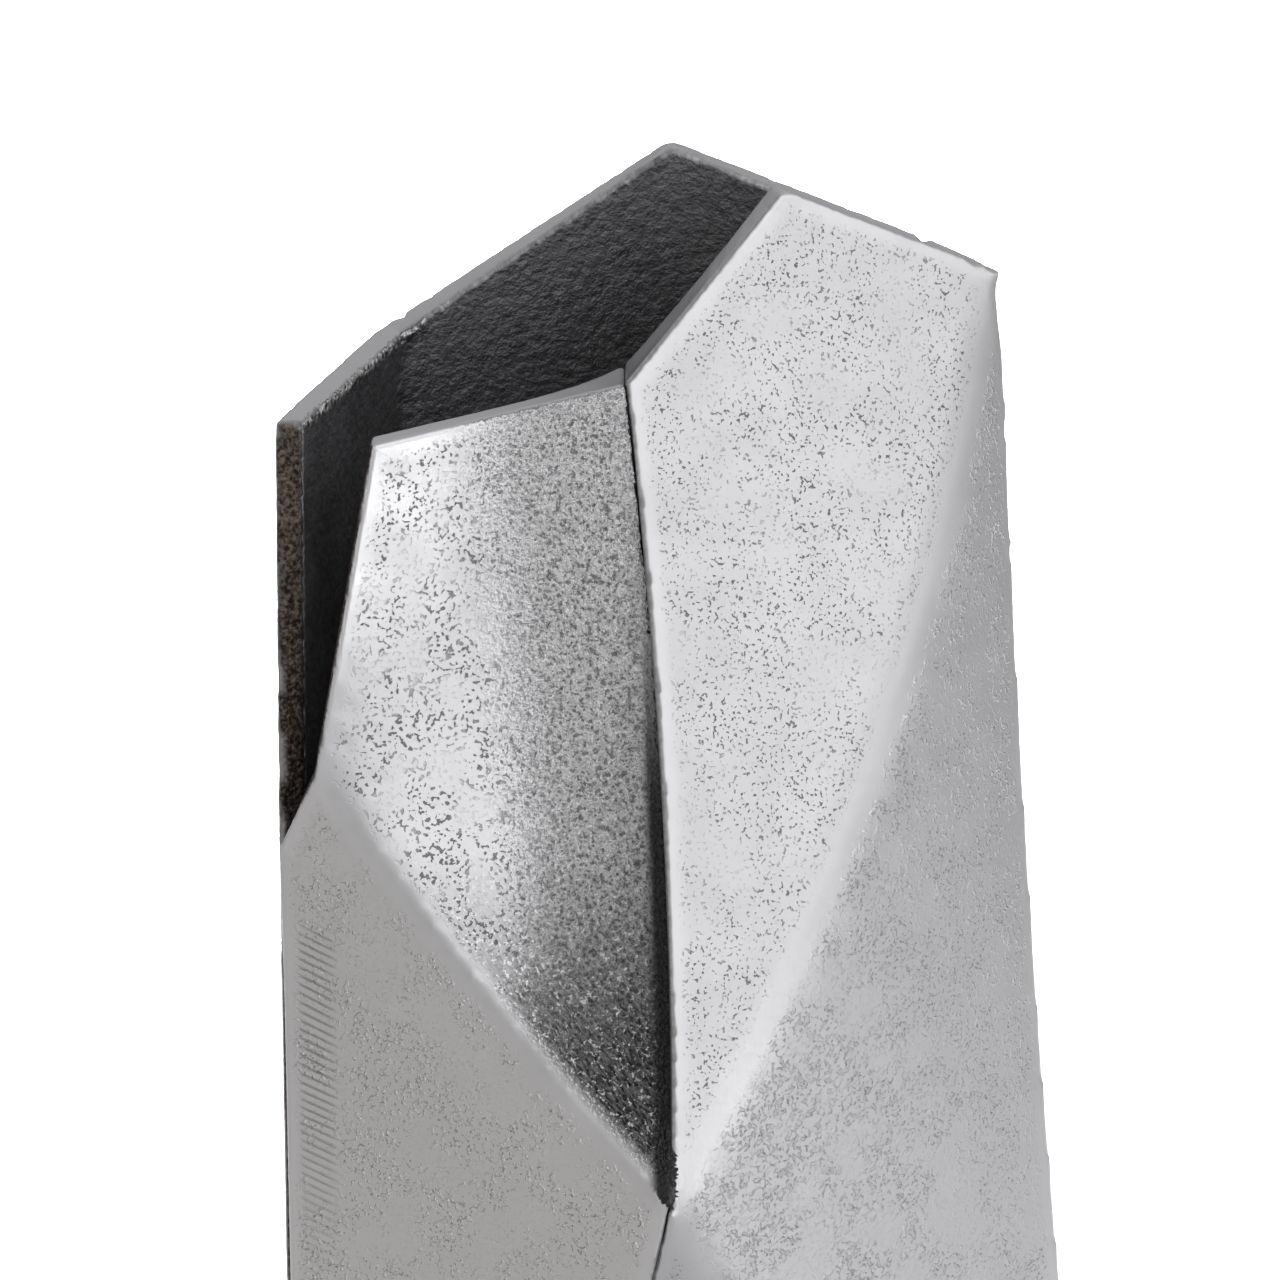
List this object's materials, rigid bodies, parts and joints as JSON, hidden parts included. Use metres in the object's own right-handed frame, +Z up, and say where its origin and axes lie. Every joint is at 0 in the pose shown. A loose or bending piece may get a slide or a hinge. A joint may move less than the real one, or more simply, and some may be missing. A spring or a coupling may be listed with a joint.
{
  "type": "decorative vase",
  "caption": "Tall faceted vase of sand-cast aluminium with folded fronts, an angled two-peaked rim and an open slot down its left side.",
  "frame": {"origin": "middle of the vase's width and depth, on the plane that the foot pads rest on", "axes": "+Z up, +X to the right as seen from the front, +Y to the back; the folded front with the star point faces -Y"},
  "size_m": [0.165, 0.118, 0.384],
  "materials": {
    "cast_pitted": "satin cast surface with coarse open pits, edges burnished",
    "cast_satin": "satin cast surface with fine pits, edges burnished",
    "cast_raw": "rough as-cast skin",
    "weld": "rippled weld bead",
    "pad": "matte"
  },
  "bodies": {
    "root": {"front_left_panel": "cast_pitted", "front_right_panel": "cast_satin", "back_panel": "cast_satin", "base_plate": "cast_raw", "front_seam_weld": "weld", "left_seam_weld": "weld", "right_seam_weld": "weld", "base_weld": "weld", "foot_pad_front_left": "pad", "foot_pad_front_right": "pad", "foot_pad_back_left": "pad", "foot_pad_back_right": "pad"}
  },
  "joints": []
}
